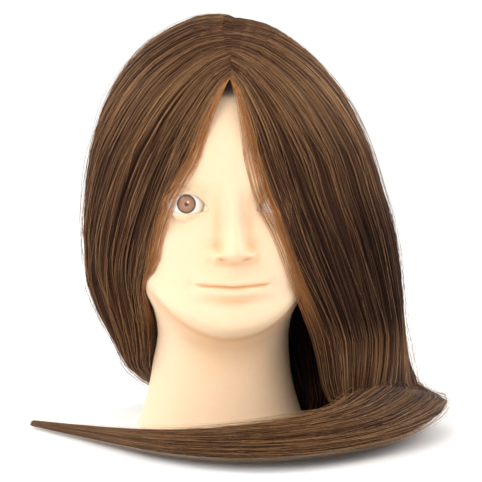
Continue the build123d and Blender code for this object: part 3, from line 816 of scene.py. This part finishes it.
# %% Sparse edges and strays
for name, guides in (("left", left_guides), ("right", right_guides)):
    n = 90
    w = 0.004 - 0.036 * rng.random(n) ** 1.5
    end = (9 - 4 * rng.random(n)) if name == "left" else 0.8 * rng.random(n)
    strand_piece(f"edge_hair_{name}", guides, w, 0.15 * rng.random(n), end, 40, 0.07 + 0.04 * rng.random(n),
                 0.35 + 0.5 * rng.random(n), 0.45, 0.5 + 0.5 * rng.random(n), 60, 0.2)
    n = 240
    w = rng.random(n) ** 1.2
    end = (10 - 5 * rng.random(n)) if name == "left" else 0.8 * rng.random(n)
    strand_piece(f"stray_hair_{name}", guides, w, 0.3 * rng.random(n) - 0.1, end, 48,
                 0.08 + 0.04 * rng.random(n), np.zeros(n), 0.90, 2.0 + 3.5 * rng.random(n), 60, 0.0)

# %% [markdown]
# ## The mass under the strands
#
# Between the strands a viewer sees more hair in shadow, never the scalp. A dark sheet under each side, laid
# with the same guides, gives that: it is darker than most strands, hair brown with painted shade.

# %% Mass under the strands
def sheet_piece(name, sheet):
    """A dark sheet through a grid of points, rows by columns by 3."""
    rows, columns = sheet.shape[:2]
    sheet[..., 2] = np.maximum(sheet[..., 2], 0.4)
    across, along = np.meshgrid(np.linspace(0, 1, rows), np.linspace(0, 1, columns), indexing="ij")
    piece = make_mesh(name, sheet.reshape(-1, 3), grid_quads(rows, columns),
                      np.stack([across, along], -1).reshape(-1, 2), shaded_hair_mass)
    settle(piece, "hair")


for name, guides, end in (("left", left_guides, 8.6), ("right", right_guides, 0.4)):
    w = np.linspace(0.05, 0.95, 70)
    sheet = spline(guides(w, np.full(70, 0.85), np.full(70, end)), 60)
    sheet_piece(f"shaded_hair_mass_{name}", clear_of_head(sheet, 0.3))
sheet_piece("shaded_hair_mass_nape", spline(nape_guides(np.linspace(0, 1, 40), np.full(40, 1.2), np.zeros(40)), 30))

# %% [markdown]
# ## Along the parting
#
# Real roots crowd together along the parting and darken it. A narrow arched strip just under the hair's
# outside closes the gap between the two sides. It has the mass's finish: the roots' brown with painted shade.

# %% Roots along the parting
line = between(np.linspace(0.05, 0.85, 50), parting) - dome_centre
line = line[:, None, :] + np.linspace(-7, 7, 9)[None, :, None] * np.array([1.0, 0, 0])
line /= np.linalg.norm(line, axis=-1, keepdims=True)
strip = hair_dome(line) - line * (3.4 - 0.03 * np.linspace(-7, 7, 9)[None, :, None] ** 2)
across, along = np.meshgrid(np.linspace(0, 1, 9), np.linspace(0, 1, 50))
roots = make_mesh("parting_roots", strip.reshape(-1, 3), grid_quads(50, 9),
                  np.stack([across, along], -1).reshape(-1, 2), shaded_hair_mass)
settle(roots, "hair")

# %% [markdown]
# ## Base and filling
#
# The parts under the neck keep the construction model's own shapes, because they are plain turned and
# moulded parts. They only need their finish. The foam and the lining are closed inside the skin.

# %% Finishes of the plain parts
finishes = {base_plastic: ["post_socket", "socket_cap", "base_plate", "neck_ring"],
            screw_steel: ["base_screws"], foam: ["foam_core"], lining: ["root_lining"]}
for material, names in finishes.items():
    for name in names:
        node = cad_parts[name]
        node.data.materials.clear()
        node.data.materials.append(material)
    print(material.name, names)

# %% [markdown]
# ## The table, the light and the camera
#
# The head stands on a white table in even white light. A soft key lamp stands in front, on the head's
# right, and a rim lamp on each side puts the sheen on the dome. The camera is 1.17 m away, at the height of
# the hairline, tilted down about six degrees and turned six degrees to the head's right.

# %% Stage
bpy.ops.mesh.primitive_plane_add(size=12, location=(0, 2, -0.0002))
floor = bpy.context.object
floor.name = "table"
floor.data.materials.append(surface("table_white", (0.99, 0.99, 0.99), 0.6, 3, 0.004))


def area_light(name, place, target, size, power, colour):
    """A soft square light that looks at a point. Lengths are in metres and power in watts."""
    light = bpy.data.lights.new(name, "AREA")
    light.size, light.energy, light.color = size, power, colour
    lamp = bpy.data.objects.new(name, light)
    bpy.context.scene.collection.objects.link(lamp)
    lamp.location = place
    way = np.subtract(target, place)
    lamp.rotation_euler = (pi / 2 + atan2(way[2], np.hypot(way[0], way[1])), 0, atan2(-way[0], way[1]))
    return lamp


area_light("key", (-0.9, -1.5, 1.3), (0, 0, 0.15), 1.0, 13, (1.0, 0.98, 0.95))
area_light("left_rim", (-1.4, 0.5, 0.9), (0, 0, 0.2), 0.8, 12, (1.0, 0.97, 0.92))
area_light("right_rim", (1.4, 0.3, 0.9), (0, 0, 0.2), 0.8, 12, (1.0, 0.97, 0.92))
world = bpy.data.worlds.new("white_room")
world.use_nodes = True
world.node_tree.nodes["Background"].inputs["Color"].default_value = (1, 0.995, 0.985, 1)
world.node_tree.nodes["Background"].inputs["Strength"].default_value = 1.03
bpy.context.scene.world = world

distance, height, turn, shift, pitch = 1.174, 0.249, radians(-6), 0.013, radians(5.9)
camera = bpy.data.objects.new("camera", bpy.data.cameras.new("camera"))
bpy.context.scene.collection.objects.link(camera)
camera.location = (distance * sin(turn) + shift * cos(turn),
                   -distance * cos(turn) + shift * sin(turn), height)
camera.rotation_euler = (pi / 2 - pitch, 0, turn)
camera.data.lens, camera.data.sensor_width = 128, 36
bpy.context.scene.camera = camera
bpy.context.scene.view_settings.view_transform = "Standard"
print("camera, m:", [round(float(c), 3) for c in camera.location])
